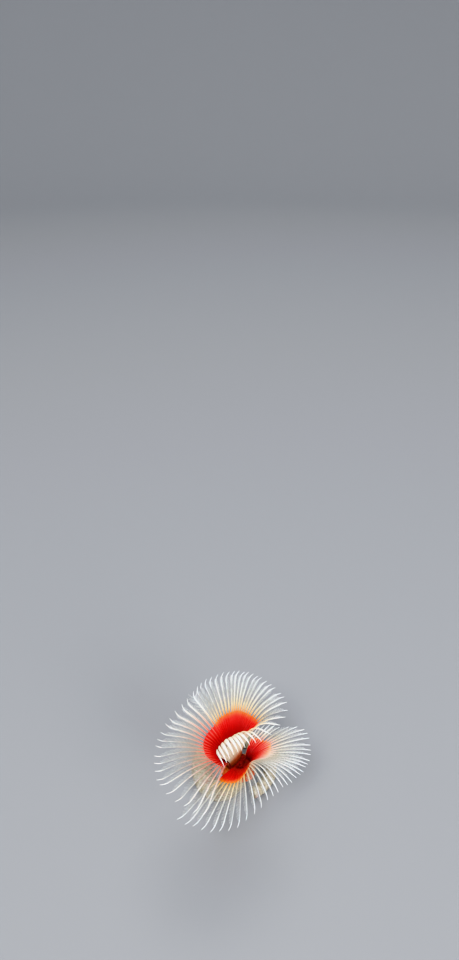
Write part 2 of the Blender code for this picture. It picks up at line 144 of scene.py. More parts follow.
# Side branches
BRANCH_PITCH = 0.42
BRANCH_START = 0.98
BRANCH_STOP = 1.87
BRANCH_LENGTH = ((0.98, 0.2), (1.06, 0.7), (1.2, 1.6), (1.5, 2.0), (1.75, 1.5), (1.87, 0.45))
BRANCH_RADIUS = 0.1
BRANCH_SLANT = 34.0
BRANCH_SPREAD = 0.3  # sideways reach of a branch, as a share of the gap to the next radiole
BRANCH_SIDES = 3
BRANCH_RINGS = 5
FULLNESS = {"left": ((-40, 0.0), (-12, 0.85), (20, 0.9), (80, 0.95), (110, 1.1), (198, 1.0)),
            "right": ((-45, 0.3), (10, 0.55), (90, 0.6), (130, 0.9), (172, 1.0))}
BLADE_LENGTH = ((0.98, 0.3), (1.1, 1.2), (1.4, 2.0), (1.75, 2.7), (1.87, 2.3))
BLADE_TURN = 88.0  # the one radiole whose branches lie flat
BLADE_REACH = 0.96
LEAST_FULLNESS = 0.1  # below this a radiole is left bare
FULLNESS_VARIES = (0.88, 1.12)
LEAN_VARIES = 0.12
LENGTH_VARIES = 0.08
LENGTH_LIMITS = (0.75, 1.25)
SPREAD_VARIES = 0.07
SLANT_VARIES = 0.06
BEND_VARIES = 0.08
BRANCH_STRAY = 0.35  # share of the pitch that a branch may sit too high
BRANCH_REACH = (0.16, 0.45)
BRANCH_SEAT = (0.85, 0.25)  # shares of the shaft's radius, across and into the funnel
BRANCH_ROWS = (0.01, 0.98)  # lowest row on the map, and the rows' height
BRANCH_CURVE = 0.3
BRANCH_TAPER = 0.72
BRANCH_COLUMNS = {-1.0: 0.3, 1.0: 0.62}  # place of each row on the map, across its radiole
BRANCH_MAP = (0.0013, 0.0028, 0.0004)  # size of one branch on the map, and its middle side's lift

# Foot, collar, mouth and palps: (share of the outline, neck, height) or (reach, height)
FOOT_SIDES = 48
FOOT_LEVELS = ((0.05, 0.0, -0.95), (0.3, 0.0, -0.9), (0.55, 0.0, -0.62), (0.8, 0.0, -0.36),
               (0.93, 0.0, -0.34), (0.985, 0.0, -0.55), (0.99, 0.0, -0.9), (0.9, 0.2, -1.35),
               (0.5, 1.4, -1.8), (0.0, 3.2, -2.2), (0.0, 3.15, -3.7))
# How much of the cup's dark red each level takes: partly the flesh's own red, partly painted shade
# of the crown's deep middle.
FOOT_RED_AND_SHADE = (1.0, 1.0, 1.0, 1.0, 1.0, 0.6, 0.15, 0.0, 0.0, 0.0, 0.0)
FOOT_CREASES = (0.012, 24.0, -0.5)  # depth, number, and the height that they stay below
COLLAR_SIDES = 96
COLLAR_PROFILE = ((3.6, -2.75), (4.6, -2.62), (5.5, -2.55), (6.4, -2.75), (7.0, -3.1), (7.3, -3.5))
COLLAR_LIFT = 0.2
COLLAR_DROP = 0.12
COLLAR_FLARE = (4.0, 3.4)  # reach where the edge begins, and its length
COLLAR_WAVES = (0.05, 4.0)
COLLAR_RIPPLES = (0.012, 17.0, 30.0)
COLLAR_FRILL = (0.1, 13.0)
COLLAR_FIT = 0.985
LIP_SIDES = 28
LIP_STEPS = 12
LIP_REACH = 0.85
LIP_THICKNESS = 0.36
LIP_PUCKERS = (0.12, 7.0)
LIP_HEIGHTS = (-0.05, 0.55)
PALP_SIDES = 12
PALP_STEPS = 16
PALP_LENGTH = 5.0
PALP_SINK = 0.7
PALP_RADIUS = 0.38
PALP_TAPER = 0.45

# Body and tube
BODY_ENDS = (0.3, 78.5)
BODY_SIDES = 16
BODY_STEP = 0.7
BODY_CLEARANCE = 0.55
SEGMENT = 1.4
SEGMENT_DEPTH = 0.06
TUBE_SIDES = 60
TUBE_STEP = 0.25
TUBE_FIT = (0.944, -0.02)  # keeps the rings and knobs about where the solid's own surface is
TUBE_KNOBS = ((0.55, 0.14), (1.9, 0.05))  # lumps per millimetre, height
GROWTH_STEP = 1.7
GROWTH_FLANGE = 1.95
GROWTH_HEIGHTS = (0.08, 0.14)

# Colours up a radiole, by half its rise
SHAFT_STOPS = ((0.0, (0.5, 0.09, 0.05)), (0.05, (0.66, 0.27, 0.15)), (0.13, (0.84, 0.7, 0.52)),
               (0.25, (0.86, 0.78, 0.61)), (0.45, (0.82, 0.74, 0.57)), (0.57, (0.82, 0.74, 0.57)),
               (0.67, (0.87, 0.84, 0.75)), (0.8, (0.9, 0.92, 0.92)), (1.0, (0.88, 0.92, 0.96)))
WEB_STOPS = ((0.0, (0.04, 0.0, 0.0)), (0.08, (0.16, 0.0, 0.001)), (0.2, (0.38, 0.001, 0.001)),
             (0.37, (0.56, 0.001, 0.0)), (0.42, (0.62, 0.006, 0.0)), (0.455, (0.74, 0.07, 0.001)),
             (0.487, (0.82, 0.25, 0.02)), (0.52, (0.86, 0.5, 0.17)), (0.58, (0.86, 0.73, 0.5)),
             (0.7, (0.89, 0.89, 0.87)), (1.0, (0.88, 0.92, 0.96)))
RIDGE_STOPS = ((0.0, (0.05, 0.0, 0.001)), (0.12, (0.26, 0.004, 0.004)), (0.28, (0.56, 0.02, 0.02)),
               (0.4, (0.74, 0.12, 0.09)), (0.5, (0.82, 0.36, 0.29)), (0.58, (0.86, 0.62, 0.54)),
               (0.68, (0.88, 0.84, 0.78)), (1.0, (0.88, 0.92, 0.96)))
RIDGE_COVER = ((0.45, 0.0), (0.95, 1.0))
INSIDE_COVER = ((0.25, 0.0), (0.6, 1.0))
CROWN_TONES = ((0.0, 0.88), (1.0, 1.0))
BRANCH_TONES = ((0.0, 0.9), (1.0, 1.0))
BRANCH_SHADES = ((0.0, 0.84), (0.3, 0.68), (0.75, 0.67), (1.0, 0.78))

# Colours by noise, and the tube's by its growth lines
BODY_STOPS = ((0.3, (0.5, 0.05, 0.015)), (0.5, (0.66, 0.12, 0.035)), (0.7, (0.78, 0.34, 0.15)))
# Dark red of the cup: the flesh's own red, darkened further as painted shade of the crown's deep
# middle.
CUP_RED_AND_SHADE_STOPS = ((0.3, (0.07, 0.003, 0.003)), (0.7, (0.24, 0.008, 0.006)))
# Dark red of the lips and palps: their own red, darkened further as painted shade of the crown's
# deep middle.
LIP_RED_AND_SHADE_STOPS = ((0.3, (0.1, 0.003, 0.003)), (0.7, (0.26, 0.012, 0.01)))
CHALK_STOPS = ((0.3, (0.3, 0.25, 0.16)), (0.5, (0.47, 0.41, 0.3)), (0.7, (0.6, 0.55, 0.44)))
FILM_COLOUR = (0.2, 0.15, 0.07)
FILM_COVER = ((0.48, 0.0), (0.72, 0.6))
CRUST_COLOUR = (0.4, 0.22, 0.2)
CRUST_COVER = ((0.58, 0.0), (0.62, 0.6))
GROOVE_SHADES = ((0.0, 0.5), (0.3, 0.95), (0.9, 1.0), (1.0, 0.75))

# Stage and lights, in metres and watts
FLOOR_RADIUS = 1.5
FLOOR_BEND = 1.0
WALL_TOP = 2.3
FLOOR_SIDES = 96
FLOOR_COLOUR = (0.27, 0.28, 0.3, 1.0)
LAMP_AIM = (0.0, 0.0, 0.03)
LAMPS = (("key", (-0.5, -1.3, 1.9), 0.7, 56.0, (1.0, 0.98, 0.95)),
         ("fill", (1.0, -1.3, 0.8), 1.0, 24.0, (0.97, 0.98, 1.0)),
         ("back", (0.3, 1.3, 1.9), 1.0, 14.0, (1.0, 1.0, 1.0)))
SKY_COLOUR = (0.92, 0.95, 1.0, 1.0)
SKY_STRENGTH = 0.6

# Camera, with its focal length and the crown's place in pixels of the frame
FRAME_WIDTH, FRAME_HEIGHT = 459.0, 960.0
CROWN_PIXEL = (238.0, 762.0)
CAMERA_PITCH = 30.0
CAMERA_DISTANCE = 290.0
CAMERA_FOCAL = 725.0
SENSOR = 36.0


# Plain functions

def along(place, stops):
    """The value at a place, or at each of many, between (place, value) stops."""
    places, values = zip(*stops)
    return np.interp(place, places, values)


def ease(share):
    share = np.clip(share, 0.0, 1.0)
    return share * share * (3.0 - 2.0 * share)


def blend(first, second, share):
    return first * (1.0 - share) + second * share


def swell(angle, centre, width):
    """A smooth bump of height 1 at an angle."""
    away = (angle - centre + 180.0) % 360.0 - 180.0
    return math.exp(-(away / width) ** 2)


def sine(degrees):
    return math.sin(math.radians(degrees))


def cosine(degrees):
    return math.cos(math.radians(degrees))


def polar(azimuth, tilt):
    return np.array((cosine(azimuth) * sine(tilt), sine(azimuth) * sine(tilt), cosine(tilt)))


def unit(vectors):
    return vectors / np.linalg.norm(vectors, axis=-1, keepdims=True)


BELLY = polar(BELLY_AZIMUTH, 90.0)
LEFT = polar(BELLY_AZIMUTH + 90.0, 90.0)
UP = np.array((0.0, 0.0, 1.0))


def crown_centre():
    low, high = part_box("crown_foot")
    middle = (0.5 * (low[0] + high[0]), 0.5 * (low[1] + high[1]))
    return np.array((*middle, high[2] + FOOT_TOP_GAP * MM)) / MM


CROWN = crown_centre()


# Radioles

def read_path(points, steps):
    """Places between the points of a path, at one step or at each of many."""
    rows = np.arange(len(points))
    return np.stack([np.interp(steps, rows, points[:, axis]) for axis in range(3)], axis=-1)


def grow(foot, headings, length):
    """Points along a shaft that leaves its foot and bends through five headings."""
    shares = np.linspace(0.0, 1.0, PATH_STEPS + 1)
    legs = np.clip(np.searchsorted(BEND_STOPS, shares, side="left") - 1, 0, 3)
    starts = np.array(BEND_STOPS)[legs]
    stops = np.array(BEND_STOPS)[legs + 1]
    weights = ease((shares - starts) / (stops - starts))[:, None]
    headings = np.array(headings)
    directions = unit(blend(headings[legs], headings[legs + 1], weights))
    steps = (directions[:-1] + directions[1:]) * (0.5 * length / PATH_STEPS)
    return np.vstack([foot, foot + np.cumsum(steps, axis=0)])


def left_radiole(turn, foot_turn, index):
    """Shaft points, web length and whole length of one radiole of the left lobe.

    Both lobes' numbers here are those of the part's own source.
    """
    side = max(sine(foot_turn), 0.0)
    inner = max(-sine(foot_turn), 0.0)
    offset = LEFT_FOOT_OFFSET + 2.4 * side ** 0.7 - 1.6 * inner ** 0.5
    foot = BELLY * FOOT_LENGTH * cosine(foot_turn) + LEFT * offset

    azimuth = along(turn, LEFT_AZIMUTH)
    web_azimuth = azimuth
    if turn <= -90:
        web_azimuth = along(turn, LEFT_END_AZIMUTH)
    elif turn < 50:
        web_azimuth = along(turn, LEFT_WEB_AZIMUTH)
    far = max(sine(azimuth), 0.0)
    near = max(-sine(azimuth), 0.0)
    sway = 3.0 * math.sin(2.3 * index) + 2.0 * math.sin(0.9 * index + 1.0)
    fold = swell(azimuth, 140.0, 14.0)
    inward = ease(min(-turn - 12.0, 168.0 + turn) / 66.0)
    upright = 1.0 - 0.5 * ease(-turn / 36.0)

    foot_tilt = (14.0 + 6.0 * max(sine(turn), 0.0)) * upright
    web_tilt = (52.0 - 14.0 * far + 4.0 * near - 9.0 * fold) * upright
    rim_tilt = (66.0 - 18.0 * far + 10.0 * near - 5.0 * fold) * upright
    shaft_tilt = blend(88.0 - 28.0 * far + 7.0 * near + sway, 98.0, inward)
    tip_tilt = blend(72.0 - 24.0 * far + sway, 150.0, inward)
    hook = (-50.0 * far - 18.0) * (1.0 - inward)
    rim_azimuth = web_azimuth if turn <= -90 else 0.5 * (web_azimuth + azimuth)
    headings = [polar(web_azimuth, foot_tilt), polar(web_azimuth, web_tilt),
                polar(rim_azimuth, rim_tilt), polar(azimuth - 1.0, shaft_tilt),
                polar(azimuth + hook, tip_tilt)]
    for place, (lean, end_lean) in enumerate(LEFT_WALL_LEANS):
        ahead = 0.8 * cosine(turn) * sine(max(-lean, 20.0))
        wall = unit(BELLY * ahead + LEFT * sine(lean) + UP * cosine(lean))
        headings[place] = unit(blend(headings[place], wall, inward))
        if turn < -90:
            headings[place] = polar(web_azimuth, blend(lean, end_lean, (-90.0 - turn) / 60.0))

    web = along(turn, LEFT_WEB)
    free = along(turn, LEFT_FREE)
    return grow(foot, headings, web + free), web, web + free


def right_radiole(turn, foot_turn, index):
    """The same for the right lobe, which is the smaller one and opens wider."""
    side = max(sine(foot_turn), 0.0)
    inner = max(-sine(foot_turn), 0.0)
    offset = RIGHT_FOOT_OFFSET + 2.6 * side ** 0.7 - 1.2 * inner ** 0.5
    foot = BELLY * FOOT_LENGTH * cosine(foot_turn) - LEFT * offset

    azimuth = BELLY_AZIMUTH - 10.0 - turn + 0.5 * min(turn, 0.0)
    steep = swell(turn, 95.0, 34.0)
    flat = ease((turn - 112.0) / 35.0)
    belly = swell(turn, 0.0, 50.0)
    sway = 3.0 * math.sin(2.1 * index) + 2.0 * math.sin(0.8 * index + 2.0)
    upright = 1.0 - 0.5 * ease(-turn / 42.0)
    headings = [polar(azimuth, (16.0 - 12.0 * flat) * upright),
                polar(azimuth, (63.0 - 34.0 * steep + 18.0 * flat) * upright),
                polar(azimuth, (82.0 - 24.0 * steep - 8.0 * belly + 10.0 * flat) * upright),
                polar(azimuth - 1.0, 99.0 + sway - 14.0 * belly),
                polar(azimuth - 18.0, 84.0 + sway - 10.0 * belly)]
    web = along(turn, RIGHT_WEB)
    free = along(turn, RIGHT_FREE)
    return grow(foot, headings, web + free), web, web + free


def turns_of(ends, pitch):
    turns = [ends[0]]
    while turns[-1] - along(turns[-1], pitch) >= ends[1]:
        turns.append(turns[-1] - along(turns[-1], pitch))
    return turns


class Lobe:
    """A row of radioles, with their places and directions at every row of their spines."""

    def __init__(self, shaft, ends, pitch, fans, side):
        self.turns = turns_of(ends, pitch)
        self.count = len(self.turns)
        self.rises = np.linspace(0.0, 2.0, SPINE_ROWS)
        fan_of = [min(int(index * fans / self.count), fans - 1) for index in range(self.count)]
        places = []
        self.free = []
        for index, turn in enumerate(self.turns):
            members = [t for t, fan in zip(self.turns, fan_of) if fan == fan_of[index]]
            middle = 0.5 * (members[0] + members[-1])
            foot_arc = math.radians(members[0] - members[-1]) * FOOT_REACH
            foot_turn = middle + (turn - middle) * (1.0 - FAN_GAP / foot_arc)
            points, web, length = shaft(turn, foot_turn, index)
            shares = np.interp(self.rises, (0.0, 1.0, 2.0), (0.0, web / length, 1.0))
            places.append(read_path(points, shares * PATH_STEPS))
            self.free.append(length - web)
        self.places = np.array(places)
        self.set_directions(side)

    def set_directions(self, side):
        """Directions ahead to the tip, across to the next radiole and into the funnel."""
        places = self.places
        self.ahead = unit(np.gradient(places, axis=1))
        before = 2 * places[:1] - places[1:2]
        after = 2 * places[-1:] - places[-2:-1]
        beyond = np.concatenate([before, places, after])
        self.gap = np.linalg.norm(np.diff(beyond, axis=0), axis=2)
        across = beyond[2:] - beyond[:-2]
        rim = int(np.searchsorted(self.rises, 1.0))
        self.across = np.empty_like(places)
        for row in range(SPINE_ROWS):
            wanted = across[:, row] if row <= rim else self.across[:, row - 1]
            ahead = self.ahead[:, row]
            wanted = unit(wanted)
            self.across[:, row] = unit(wanted - ahead * (wanted * ahead).sum(axis=1, keepdims=True))
        self.inward = np.cross(self.across, self.ahead) * side

    def at(self, table, rise):
        """What a table says at one rise of every radiole, between two spine rows."""
        row = min(rise / 2.0 * (SPINE_ROWS - 1), SPINE_ROWS - 1.001)
        low = int(row)
        share = row - low
        return table[:, low] * (1.0 - share) + table[:, low + 1] * share


LOBES = {"left": Lobe(left_radiole, LEFT_TURNS, LEFT_PITCH, LEFT_FANS, 1.0),
         "right": Lobe(right_radiole, RIGHT_TURNS, RIGHT_PITCH, RIGHT_FANS, -1.0)}
COLUMNS = sum(lobe.count for lobe in LOBES.values())


# Mesh making

def cell(spot, side, row):
    """The four corners of one face on a map, whose spot function gives a corner's place."""
    return [spot(side, row), spot(side + 1, row), spot(side + 1, row + 1), spot(side, row + 1)]


class Shell:
    """Collects closed surfaces with a map and values for the shader."""

    def __init__(self):
        self.points = []
        self.faces = []
        self.map = []
        self.slots = []
        self.values = {"rise": [], "inner": [], "ridge": [], "tone": []}

    def add_point(self, point, rise=0.0, inner=0.0, ridge=1.0, tone=0.5):
        self.points.append(point)
        for key, value in (("rise", rise), ("inner", inner), ("ridge", ridge), ("tone", tone)):
            self.values[key].append(value)
        return len(self.points) - 1

    def add_face(self, corners, places, slot=0):
        self.faces.append(corners)
        self.map.extend(places)
        self.slots.append(slot)

    def loft(self, rings, area, slot=0, rises=None, capped=True):
        """Joins rings of points end to end, with a rectangle (u, v, width, height) of the map."""
        sides = len(rings[0])
        last = len(rings) - 1
        rises = rises if rises is not None else [0.0] * len(rings)
        rows = [[self.add_point(point, rise) for point in ring] for ring, rise in zip(rings, rises)]
        left, low, width, height = area

        def spot(side, row, lift=0.0):
            share = row / last
            middle = sides // 4 <= side < 3 * sides // 4
            return (left + width * side / sides,
                    low + CAP + (height - 2.0 * CAP) * share + lift * middle)

        for row, (first, second) in enumerate(zip(rows, rows[1:])):
            for side in range(sides):
                after = (side + 1) % sides
                self.add_face((first[side], first[after], second[after], second[side]),
                              cell(spot, side, row), slot)
        if capped:
            self.add_face(tuple(reversed(rows[0])),
                          [spot(side, 0, -CAP) for side in reversed(range(sides))], slot)
            self.add_face(tuple(rows[-1]), [spot(side, last, CAP) for side in range(sides)], slot)

    def finish(self, name, materials):
        data = bpy.data.meshes.new(name)
        points = (np.array(self.points) + CROWN) * MM
        data.from_pydata(points.tolist(), [], self.faces)
        for item in materials:
            data.materials.append(item)
        data.polygons.foreach_set("material_index", self.slots)
        layer = data.uv_layers.new(name="OFBake")
        layer.uv.foreach_set("vector", np.array(self.map, dtype=np.float32).ravel())
        for key, values in self.values.items():
            data.attributes.new(key, "FLOAT", "POINT").data.foreach_set("value", values)
        data.shade_smooth()
        return add_object(name, data)


def add_object(name, data):
    item = bpy.data.objects.new(name, data)
    bpy.context.scene.collection.objects.link(item)
    return item


# Skin of the lobes

def hue_rise(rise, red_end_and_shade):
    """The rise that the colour is taken from; the tip keeps its own where the red ends below the
    rim. Below 1 the colour comes from lower down, redder and darker: on the left lobe's far side
    that darkening is painted shade.
    """
    return min(rise * red_end_and_shade, blend(rise, 2.0, 0.5 * (red_end_and_shade - 1.0)), 2.0)


def add_lobe_skin(shell, side_name, first_column):
    """The shafts of one lobe, with the web between them."""
    lobe = LOBES[side_name]
    free_rises = 1.0 + np.linspace(0, 1, FREE_ROWS + 1)[1:] ** 0.9
    rises = list(np.linspace(0.0, 1.0, WEB_ROWS + 1)) + list(free_rises)
    rises[-1] = 2.0
    angles = [2.0 * math.pi * (side + 0.5) / RING_SIDES for side in range(RING_SIDES)]
    tones = RNG.random(lobe.count)
    pinks = along(lobe.turns, PINK_TURNS[side_name])
    red_end_and_shade = along(lobe.turns, RED_END_AND_SHADE_TURNS[side_name])
    ribbons = ease((-np.array(lobe.turns) - RIBBON_TURNS[0]) / RIBBON_TURNS[1])
    if side_name == "right":
        ribbons = ribbons * 0.0
    rings = [[] for _ in range(lobe.count)]
    for rise in rises:
        place = lobe.at(lobe.places, rise)
        across = unit(lobe.at(lobe.across, rise))
        inward = unit(lobe.at(lobe.inward, rise))
        ahead = unit(lobe.at(lobe.ahead, rise))
        gap = np.minimum(lobe.at(lobe.gap[:-1], rise), lobe.at(lobe.gap[1:], rise))
        radius = np.minimum(along(rise, SHAFT_RADIUS), SHAFT_SHARE * gap)
        ribbon = ribbons * along(rise, RIBBON)
        wide = np.minimum(blend(radius, RIBBON_SHARE * gap, ribbon), RIBBON_LIMIT)
        if rise == 0.0:
            place = place - ahead * FOOT_SINK
        for index in range(lobe.count):
            hue = hue_rise(rise, red_end_and_shade[index])
            ring = []
            for angle in angles:
                offset = (across[index] * math.cos(angle) * wide[index]
                          + inward[index] * math.sin(angle) * radius[index])
                inner = 0.5 + 0.5 * math.sin(angle) / math.sin(angles[1])
                ring.append(shell.add_point(place[index] + offset, hue, inner, pinks[index],
                                            tones[index]))
            rings[index].append(ring)

    def spot(index, step, row, lift=0.0):
        """Place on the map: steps go across a radiole's column, and rows up by the rise."""
        return ((first_column + index + (0.5 + step * MAP_STEP) / MAP_STEPS) / COLUMNS,
                BAND + (TIP_BAND - BAND) * rises[row] / 2.0 + lift)

    def cap_spots(at, row, lift):
        return [at(side, row, lift if 2 <= side <= 5 else 0.0) for side in range(RING_SIDES)]

    last = lobe.count - 1
    for index in range(lobe.count):
        at = partial(spot, index)
        column = rings[index]
        for row in range(len(rises) - 1):
            for side in range(RING_SIDES):
                webbed = side == LAST_INSIDE and index > 0 or side == NEXT_OUTSIDE and index < last
                if webbed and row < WEB_ROWS:
                    continue
                after = (side + 1) % RING_SIDES
                shell.add_face((column[row][side], column[row][after], column[row + 1][after],
                                column[row + 1][side]), cell(at, side, row))
        shell.add_face(tuple(reversed(column[0])), cap_spots(at, 0, -LIP)[::-1])
        shell.add_face(tuple(column[-1]), cap_spots(at, len(rises) - 1, LIP))
    for index in range(last):
        tone = 0.5 * (tones[index] + tones[index + 1])
        add_web(shell, lobe, rings, index, rises, partial(spot, index), tone, pinks, red_end_and_shade)


def add_web(shell, lobe, rings, index, rises, at, tone, pinks, red_end_and_shade):
    """The web between one radiole and the next: two faces, closed at the foot and at its rim."""
    inside = []
    outside = []
    for row in range(WEB_ROWS + 1):
        front = [rings[index][row][NEXT_INSIDE]]
        back = [rings[index][row][NEXT_OUTSIDE]]
        for step in range(1, WEB_STEPS + 1):
            share = step / (WEB_STEPS + 1)
            bow = math.sin(math.pi * share)
            rise = rises[row] * (1.0 - RIM_SCALLOP * bow)
            places = lobe.at(lobe.places, rise)
            inwards = lobe.at(lobe.inward, rise)
            ahead = lobe.at(lobe.ahead, rise)
            start, stop = places[index], places[index + 1]
            if row == 0:
                start = start - ahead[index] * FOOT_SINK
                stop = stop - ahead[index + 1] * FOOT_SINK
            inward = unit(blend(inwards[index], inwards[index + 1], share))
            pitch = np.linalg.norm(stop - start)
            middle = blend(start, stop, share) - inward * (WEB_SAG * bow * pitch)
            half = inward * 0.5 * min(WEB_THICKNESS, 0.4 * pitch)
            ridge = (1.0 - bow) * blend(pinks[index], pinks[index + 1], share)
            hue = hue_rise(rise, blend(red_end_and_shade[index], red_end_and_shade[index + 1], share))
            front.append(shell.add_point(middle + half, hue, 1.0, ridge, tone))
            back.append(shell.add_point(middle - half, hue, 0.0, ridge, tone))
        front.append(rings[index + 1][row][LAST_INSIDE])
        back.append(rings[index + 1][row][LAST_OUTSIDE])
        inside.append(front)
        outside.append(back)
    inside_step = RING_SIDES
    outside_step = RING_SIDES + WEB_STEPS + 1
    for row in range(WEB_ROWS):
        for step in range(WEB_STEPS + 1):
            for sheet, first_step in ((inside, inside_step), (outside, outside_step)):
                shell.add_face((sheet[row][step], sheet[row][step + 1], sheet[row + 1][step + 1],
                                sheet[row + 1][step]), cell(at, first_step + step, row))
    for row, lift in ((0, -LIP), (WEB_ROWS, LIP)):
        for step in range(WEB_STEPS + 1):
            here = inside_step + step
            shell.add_face((inside[row][step], inside[row][step + 1], outside[row][step + 1],
                            outside[row][step]),
                           [at(here, row), at(here + 1, row), at(here + 1, row, lift),
                            at(here, row, lift)])


# Side branches

def add_branches(side_name, finish):
    """Two rows of fine side branches up every radiole, folded in towards the funnel."""
    lobe = LOBES[side_name]
    roots, headings, bends, lengths, rises, tones, spots = [], [], [], [], [], [], []
    blade = -1
    if side_name == "left":
        blade = int(np.argmin(np.abs(np.array(lobe.turns) - BLADE_TURN)))
    for index in range(lobe.count):
        tone = RNG.random()
        leaning = RNG.normal(0.0, LEAN_VARIES)
        fullness = RNG.uniform(*FULLNESS_VARIES) * along(lobe.turns[index], FULLNESS[side_name])
        number = int(lobe.free[index] * (BRANCH_STOP - BRANCH_START) / BRANCH_PITCH)
        if fullness < LEAST_FULLNESS:
            continue
        for side in (-1.0, 1.0):
            place_up = (np.arange(number) + RNG.random(number) * BRANCH_STRAY) / number
            rise = BRANCH_START + (BRANCH_STOP - BRANCH_START) * place_up
            row = rise / 2.0 * (SPINE_ROWS - 1)
            low = row.astype(int)
            share = (row - low)[:, None]

            def read(table):
                return table[index, low] * (1.0 - share) + table[index, low + 1] * share

            place = read(lobe.places)
            across = unit(read(lobe.across)) * side
            inward = unit(read(lobe.inward))
            ahead = unit(read(lobe.ahead))
            gap = np.interp(row, np.arange(SPINE_ROWS), lobe.gap[index + (1 if side > 0 else 0)])
            varied = RNG.normal(1.0, LENGTH_VARIES, number).clip(*LENGTH_LIMITS)
            length = along(rise, BRANCH_LENGTH) * fullness * varied
            reach = np.clip(BRANCH_SPREAD * gap / np.maximum(length, 0.1), *BRANCH_REACH)
            if index == blade:
                reach = np.full(number, BLADE_REACH)
                length = along(rise, BLADE_LENGTH)
            spread = np.arccos(reach) + side * leaning + RNG.normal(0.0, SPREAD_VARIES, number)
            slant = math.radians(BRANCH_SLANT) + RNG.normal(0.0, SLANT_VARIES, number)
            out = across * np.cos(spread)[:, None] + inward * np.sin(spread)[:, None]
            heading = out * np.cos(slant)[:, None] + ahead * np.sin(slant)[:, None]
            radius = along(rise, SHAFT_RADIUS)[:, None]
            sway = RNG.normal(0.0, 1.0, number)[:, None]
            column = np.full(number, (index + BRANCH_COLUMNS[side]) / lobe.count)
            seat = across * radius * BRANCH_SEAT[0], inward * radius * BRANCH_SEAT[1]
            roots.append(place + seat[0] + seat[1])
            headings.append(unit(heading))
            bends.append(ahead * BRANCH_CURVE + inward * BEND_VARIES * sway)
            lengths.append(length)
            rises.append(rise)
            tones.append(np.full(number, tone))
            spots.append(np.stack([column, BRANCH_ROWS[0] + BRANCH_ROWS[1] * place_up], axis=1))
    return branch_mesh(side_name + "_branches", np.vstack(roots), np.vstack(headings),
                       np.vstack(bends), np.hstack(lengths), np.hstack(rises), np.hstack(tones),
                       np.vstack(spots), finish)


def branch_mesh(name, roots, headings, bends, lengths, rises, tones, spots, finish):
    """One mesh of many closed, tapering, gently bent branches."""
    number = len(roots)
    side_way = unit(np.cross(headings, UP + 0.01))
    up_way = np.cross(side_way, headings)
    levels = np.linspace(0.0, 1.0, BRANCH_RINGS)
    map_width, map_height, map_lift = BRANCH_MAP
    points = []
    map_points = []
    downs = []
    for level in levels:
        centre = roots + (headings * level + bends * level ** 2) * lengths[:, None]
        thick = BRANCH_RADIUS * (1.0 - BRANCH_TAPER * level ** 1.5)
        for side in range(BRANCH_SIDES):
            angle = 2.0 * math.pi * side / BRANCH_SIDES
            points.append(centre + (side_way * math.cos(angle) + up_way * math.sin(angle)) * thick)
            map_up = map_height * (level - 0.5) + map_lift * (side == 1)
            map_points.append(spots + np.array((map_width * (side - 1), map_up)))
            downs.append(np.full(number, level))
    per = BRANCH_RINGS * BRANCH_SIDES
    points = np.stack(points, axis=1).reshape(-1, 3)
    map_points = np.stack(map_points, axis=1).reshape(-1, 2)
    downs = np.stack(downs, axis=1).ravel()
    one = []
    for ring in range(BRANCH_RINGS - 1):
        for side in range(BRANCH_SIDES):
            after = (side + 1) % BRANCH_SIDES
            base = ring * BRANCH_SIDES
            above = base + BRANCH_SIDES
            one.append((base + side, base + after, above + after))
            one.append((base + side, above + after, above + side))
    one.append((2, 1, 0))
    one.append((per - 3, per - 2, per - 1))
    faces = (np.array(one)[None] + np.arange(number)[:, None, None] * per).reshape(-1, 3)
    data = bpy.data.meshes.new(name)
    data.vertices.add(len(points))
    data.vertices.foreach_set("co", ((points + CROWN) * MM).ravel())
    data.loops.add(faces.size)
    data.loops.foreach_set("vertex_index", faces.ravel())
    data.polygons.add(len(faces))
    data.polygons.foreach_set("loop_start", np.arange(0, faces.size, 3))
    data.update(calc_edges=True)
    data.validate()
    data.materials.append(finish)
    layer = data.uv_layers.new(name="OFBake")
    layer.uv.foreach_set("vector", map_points[faces.ravel()].astype(np.float32).ravel())
    shades = {"rise": np.repeat(rises, per), "tone": np.repeat(tones, per), "down": downs}
    for key, values in shades.items():
        data.attributes.new(key, "FLOAT", "POINT").data.foreach_set("value", values)
    data.shade_smooth()
    return add_object(name, data)


# Foot, collar, mouth, palps and body

def foot_outline(angle):
    """Reach of the crown's foot at an angle from the belly: an ellipse round both lobes."""
    return 1.0 / math.hypot(cosine(angle) / FOOT_SEMI_BELLY, sine(angle) / FOOT_SEMI_SIDE)


def station(reach, angle, height):
    return BELLY * (reach * cosine(angle)) + LEFT * (reach * sine(angle)) + UP * height


def add_foot(shell):
    """The fleshy cup that carries the lobes, hollow towards the mouth, and its neck."""
    depth, number, top = FOOT_CREASES
    rings = []
    for share, neck, height in FOOT_LEVELS:
        ring = []
        for side in range(FOOT_SIDES):
            angle = 360.0 * side / FOOT_SIDES
            crease = 1.0 + depth * cosine(number * angle) * (height < top)
            reach = (neck + share * foot_outline(angle)) * crease
            ring.append(station(min(reach, foot_outline(angle)), angle, height))
        rings.append(ring)
    shell.loft(rings, FOOT_AREA, slot=1, rises=FOOT_RED_AND_SHADE)


